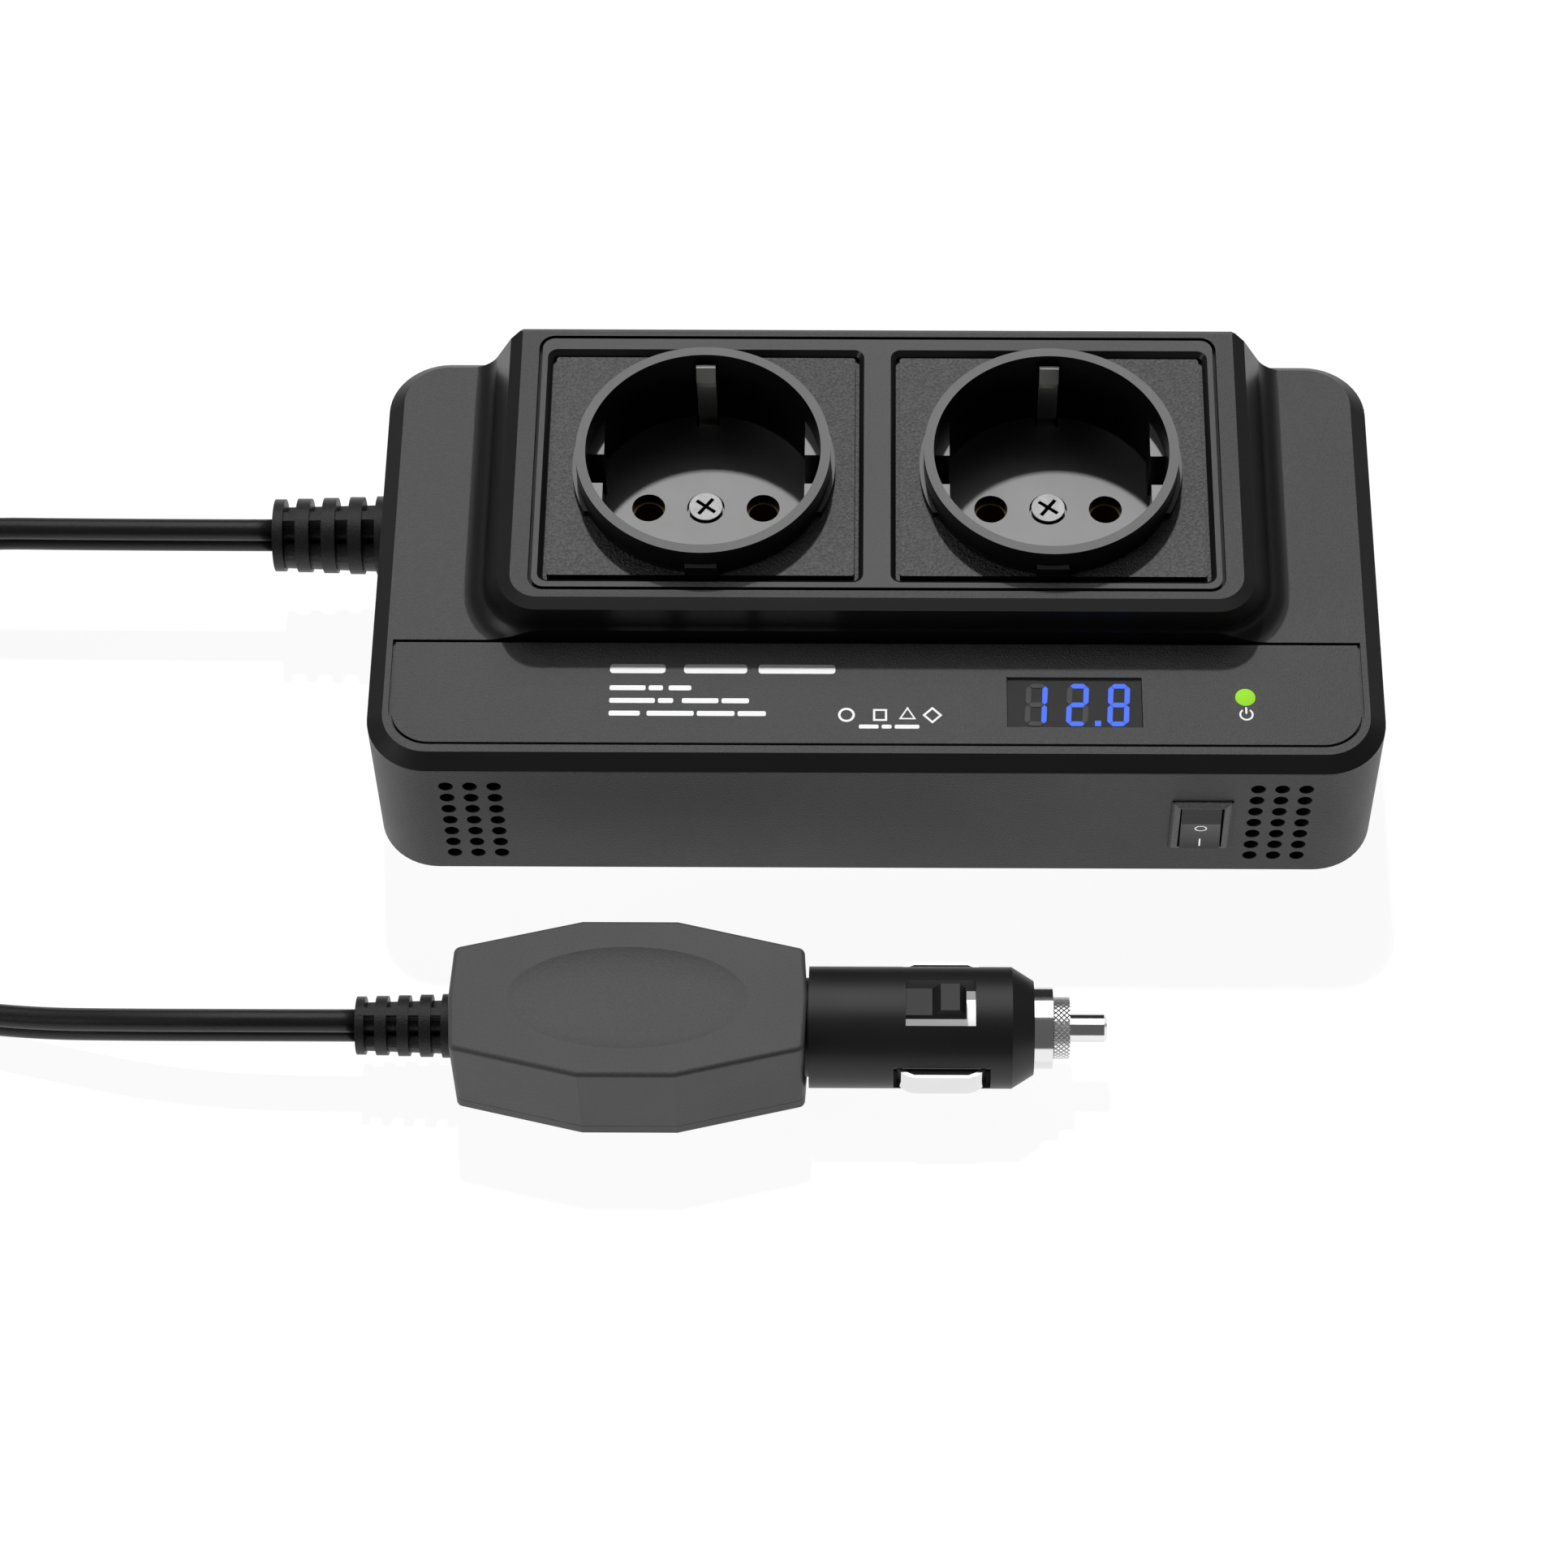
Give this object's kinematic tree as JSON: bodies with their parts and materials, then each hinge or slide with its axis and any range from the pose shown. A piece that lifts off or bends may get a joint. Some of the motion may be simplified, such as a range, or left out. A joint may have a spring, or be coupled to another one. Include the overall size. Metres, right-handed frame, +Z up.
{
  "type": "power inverter",
  "caption": "Slim vehicle power inverter: recessed earthed sockets on a raised block, voltage display, rocker switch, side vents and a lead ending in a lighter plug.",
  "frame": {"origin": "on the surface the feet stand on, under the middle of the case", "axes": "+X along the case away from its lead, +Y to the back, +Z up; the controls and the plug are towards -Y"},
  "size_m": [0.3168, 0.1305, 0.0468],
  "materials": {
    "case_plastic": "fine-grained black ABS",
    "cover_plastic": "fine-grained black ABS, polished on the block's sloping walls",
    "label_film": "fine-grained black panel with white print",
    "bezel_plastic": "satin black ABS",
    "socket_plastic": "textured black plate and satin cup",
    "carrier_plastic": "black nylon",
    "contact_brass": "bright",
    "liner_nylon": "natural white nylon",
    "clip_steel": "nickel-plated spring steel",
    "screw_steel": "bright zinc",
    "switch_plastic": "gloss black",
    "display_glass": "smoked clear window",
    "display_body": "black display block",
    "segments_lit": "lit blue segments",
    "segments_dark": "unlit grey segments",
    "led_green": "lit green lens",
    "circuit_board": "green solder mask",
    "ferrite": "dark sintered ferrite",
    "copper_winding": "taped copper winding",
    "capacitor_can": "sleeved aluminium can",
    "sink_aluminium": "extruded aluminium",
    "device_epoxy": "moulded epoxy",
    "usb_shell": "bright stamped steel",
    "usb_tongue": "blue plastic",
    "fan_plastic": "black",
    "foot_rubber": "soft rubber",
    "cord_rubber": "black flexible PVC",
    "boot_rubber": "black moulded PVC",
    "tie_wire": "black tie strip",
    "plug_plastic": "fine-grained black ABS",
    "barrel_plastic": "gloss black",
    "plug_nickel": "bright nickel plating",
    "fuse_glass": "clear tube with metal ends"
  },
  "bodies": {
    "inverter": {"lower_case": "case_plastic", "top_cover": "cover_plastic", "label_panel": "label_film", "socket_bezel": "bezel_plastic", "socket_left": "socket_plastic", "socket_right": "socket_plastic", "socket_carrier_left": "carrier_plastic", "socket_carrier_right": "carrier_plastic", "pin_contacts_left": "contact_brass", "pin_contacts_right": "contact_brass", "earth_clip_left": "clip_steel", "earth_clip_right": "clip_steel", "socket_screws": "screw_steel", "plug_liner": "liner_nylon", "switch_body": "switch_plastic", "switch_terminals": "contact_brass", "display_module": "display_body", "display_window": "display_glass", "display_digits_lit": "segments_lit", "display_digits_dark": "segments_dark", "power_led": "led_green", "main_board": "circuit_board", "transformer_core": "ferrite", "transformer_winding": "copper_winding", "input_capacitors": "capacitor_can", "bus_capacitor": "capacitor_can", "heatsink": "sink_aluminium", "power_transistors": "device_epoxy", "usb_board": "circuit_board", "usb_port_1": "usb_shell", "usb_port_2": "usb_shell", "usb_port_3": "usb_shell", "usb_port_4": "usb_shell", "usb_tongues": "usb_tongue", "fan_frame": "fan_plastic", "foot_front_left": "foot_rubber", "foot_front_right": "foot_rubber", "foot_back_left": "foot_rubber", "foot_back_right": "foot_rubber", "case_screws": "screw_steel", "cord_boot": "boot_rubber", "cord_to_case": "cord_rubber", "cord_coil": "cord_rubber", "cord_to_plug": "cord_rubber", "cord_tie": "tie_wire", "plug_boot": "boot_rubber", "plug_housing": "plug_plastic", "plug_base": "plug_plastic", "plug_screws": "screw_steel", "plug_barrel": "barrel_plastic", "nose_collar": "plug_nickel", "glass_fuse": "fuse_glass"},
    "rocker": {"rocker_button": "switch_plastic"},
    "fan": {"fan_rotor": "fan_plastic"},
    "fuse_holder_cap": {"fuse_cap": "plug_nickel", "tip_spring": "clip_steel"},
    "plug_tip": {"tip_pin": "plug_nickel"},
    "plug_contact_front": {"contact_front": "plug_nickel"},
    "plug_contact_back": {"contact_back": "plug_nickel"},
    "catch": {"catch_tongue": "barrel_plastic"}
  },
  "joints": [
    {"name": "rocker_tilt", "type": "hinge", "parent": "inverter", "child": "rocker", "pos_m": [0.0528, -0.0402, 0.0156], "axis": [1, 0, 0], "range_deg": [0, 16]},
    {"name": "fan_spin", "type": "hinge", "parent": "inverter", "child": "fan", "pos_m": [-0.0645, -0.025, 0.0156], "axis": [0, 1, 0], "continuous": true},
    {"name": "cap_unscrew", "type": "hinge", "parent": "inverter", "child": "fuse_holder_cap", "pos_m": [0.0282, -0.0756, 0.00975], "axis": [1, 0, 0], "continuous": true},
    {"name": "tip_push", "type": "slide", "parent": "fuse_holder_cap", "child": "plug_tip", "axis": [-1, 0, 0], "range_m": [0, 0.0025], "stiffness_N_per_m": 800, "springref_m": -0.002, "deforming": ["tip_spring"]},
    {"name": "contact_front_press", "type": "slide", "parent": "inverter", "child": "plug_contact_front", "axis": [0, 1, 0], "range_m": [0, 0.0008], "stiffness_N_per_m": 500, "springref_m": -0.001},
    {"name": "contact_back_press", "type": "slide", "parent": "inverter", "child": "plug_contact_back", "axis": [0, -1, 0], "range_m": [0, 0.0008], "stiffness_N_per_m": 500, "springref_m": -0.001},
    {"name": "catch_press", "type": "hinge", "parent": "inverter", "child": "catch", "pos_m": [0.0048, -0.0761, 0.01765], "axis": [0, 1, 0], "range_deg": [0, 6], "stiffness_Nm_per_rad": 0.02, "springref_deg": -2.86}
  ]
}
